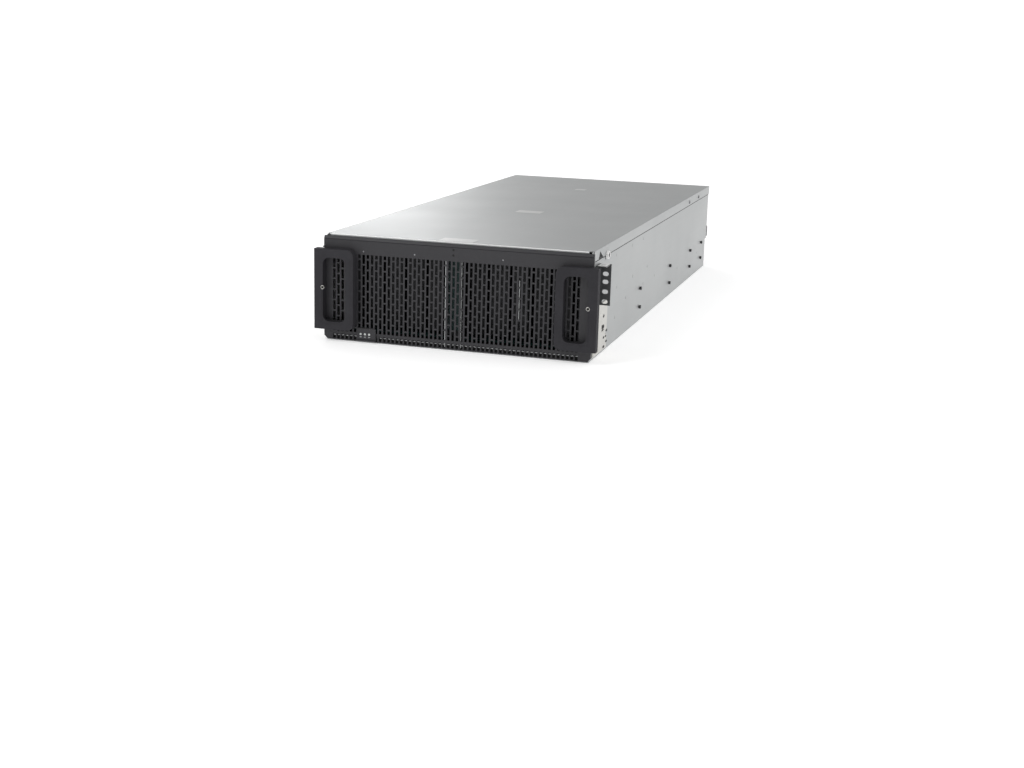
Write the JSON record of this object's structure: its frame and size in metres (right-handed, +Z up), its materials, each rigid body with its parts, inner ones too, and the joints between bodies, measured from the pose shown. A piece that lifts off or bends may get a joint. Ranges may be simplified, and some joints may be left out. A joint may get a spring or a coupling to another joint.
{
  "type": "disk shelf enclosure",
  "caption": "Four-unit rack shelf for standing disk drives: slotted front grille with grip handles, lift-off cover, hot-swap fans, power supplies and controllers.",
  "frame": {"origin": "middle of the shelf's footprint, on the surface that it stands on", "axes": "+X to the right of someone facing the front, +Y to the back, +Z up"},
  "size_m": [0.4826, 1.089, 0.175],
  "materials": {
    "zinc_sheet": "galvanised sheet",
    "black_paint": "fine textured paint",
    "black_plastic": "fine texture",
    "dark_plastic": "moulded",
    "panel_gloss": "smooth",
    "lens_pale": "milky",
    "drive_metal": "cast and machined",
    "board_green": "solder mask",
    "release_blue": "moulded",
    "screw_steel": "plated",
    "module_metal": "plated sheet"
  },
  "bodies": {
    "chassis": {"backplane_board": "board_green", "backplane_standoffs": "screw_steel", "base_pan": "zinc_sheet", "bulkhead": "zinc_sheet", "cross_beams": "zinc_sheet", "drive_latches_1": "black_plastic", "drive_latches_2": "black_plastic", "drive_latches_3": "black_plastic", "drive_latches_4": "black_plastic", "drive_latches_5": "black_plastic", "drive_row_1": "drive_metal", "drive_row_2": "drive_metal", "drive_row_3": "drive_metal", "drive_row_4": "drive_metal", "drive_row_5": "drive_metal", "drive_sockets": "dark_plastic", "front_channel": "zinc_sheet", "front_grille": "black_paint", "front_post": "zinc_sheet", "handle_left": "black_plastic", "handle_right": "black_plastic", "indicator_lenses": "lens_pale", "indicator_panel": "panel_gloss", "lower_dividers": "zinc_sheet", "midplane_board": "board_green", "module_plugs": "dark_plastic", "module_shelf": "zinc_sheet", "rack_ear_left": "zinc_sheet", "rack_ear_right": "zinc_sheet", "side_bracket_left": "zinc_sheet", "side_bracket_right": "zinc_sheet", "side_wall_left": "zinc_sheet", "side_wall_right": "zinc_sheet", "status_board": "board_green", "upper_dividers": "zinc_sheet"},
    "cover": {"top_cover": "zinc_sheet", "cover_screws": "screw_steel"},
    "psu_left": {"psu_left": "module_metal", "psu_inlet_left": "dark_plastic", "psu_pull_left": "black_plastic"},
    "psu_release_left": {"psu_release_left": "release_blue"},
    "controller_left": {"controller_left": "module_metal"},
    "controller_lever_left": {"controller_lever_left": "black_plastic"},
    "psu_right": {"psu_right": "module_metal", "psu_inlet_right": "dark_plastic", "psu_pull_right": "black_plastic"},
    "psu_release_right": {"psu_release_right": "release_blue"},
    "controller_right": {"controller_right": "module_metal"},
    "controller_lever_right": {"controller_lever_right": "black_plastic"},
    "fan_1": {"fan_module_1": "black_plastic"},
    "rotor_1": {"fan_rotor_1": "dark_plastic"},
    "fan_2": {"fan_module_2": "black_plastic"},
    "rotor_2": {"fan_rotor_2": "dark_plastic"},
    "fan_3": {"fan_module_3": "black_plastic"},
    "rotor_3": {"fan_rotor_3": "dark_plastic"},
    "fan_4": {"fan_module_4": "black_plastic"},
    "rotor_4": {"fan_rotor_4": "dark_plastic"}
  },
  "joints": [
    {"name": "cover_lift", "type": "slide", "parent": "chassis", "child": "cover", "axis": [0, 0, 1], "range_m": [0, 0.25]},
    {"name": "psu_slide_left", "type": "slide", "parent": "chassis", "child": "psu_left", "axis": [0, 1, 0], "range_m": [0, 0.235]},
    {"name": "psu_release_left", "type": "slide", "parent": "psu_left", "child": "psu_release_left", "axis": [-1, 0, 0], "range_m": [0, 0.004], "stiffness_N_per_m": 600},
    {"name": "controller_slide_left", "type": "slide", "parent": "chassis", "child": "controller_left", "axis": [0, 1, 0], "range_m": [0, 0.235]},
    {"name": "controller_lever_left", "type": "hinge", "parent": "controller_left", "child": "controller_lever_left", "pos_m": [-0.05543, 0.5219, 0.0095], "axis": [-1, 0, 0], "range_deg": [0, 85]},
    {"name": "psu_slide_right", "type": "slide", "parent": "chassis", "child": "psu_right", "axis": [0, 1, 0], "range_m": [0, 0.235]},
    {"name": "psu_release_right", "type": "slide", "parent": "psu_right", "child": "psu_release_right", "axis": [-1, 0, 0], "range_m": [0, 0.004], "stiffness_N_per_m": 600},
    {"name": "controller_slide_right", "type": "slide", "parent": "chassis", "child": "controller_right", "axis": [0, 1, 0], "range_m": [0, 0.235]},
    {"name": "controller_lever_right", "type": "hinge", "parent": "controller_right", "child": "controller_lever_right", "pos_m": [0.05543, 0.5219, 0.0095], "axis": [-1, 0, 0], "range_deg": [0, 85]},
    {"name": "fan_slide_1", "type": "slide", "parent": "chassis", "child": "fan_1", "axis": [0, 1, 0], "range_m": [0, 0.08]},
    {"name": "rotor_spin_1", "type": "hinge", "parent": "fan_1", "child": "rotor_1", "pos_m": [-0.16628, 0.5105, 0.109], "axis": [0, 1, 0], "continuous": true},
    {"name": "fan_slide_2", "type": "slide", "parent": "chassis", "child": "fan_2", "axis": [0, 1, 0], "range_m": [0, 0.08]},
    {"name": "rotor_spin_2", "type": "hinge", "parent": "fan_2", "child": "rotor_2", "pos_m": [-0.05543, 0.5105, 0.109], "axis": [0, 1, 0], "continuous": true},
    {"name": "fan_slide_3", "type": "slide", "parent": "chassis", "child": "fan_3", "axis": [0, 1, 0], "range_m": [0, 0.08]},
    {"name": "rotor_spin_3", "type": "hinge", "parent": "fan_3", "child": "rotor_3", "pos_m": [0.05543, 0.5105, 0.109], "axis": [0, 1, 0], "continuous": true},
    {"name": "fan_slide_4", "type": "slide", "parent": "chassis", "child": "fan_4", "axis": [0, 1, 0], "range_m": [0, 0.08]},
    {"name": "rotor_spin_4", "type": "hinge", "parent": "fan_4", "child": "rotor_4", "pos_m": [0.16628, 0.5105, 0.109], "axis": [0, 1, 0], "continuous": true}
  ]
}
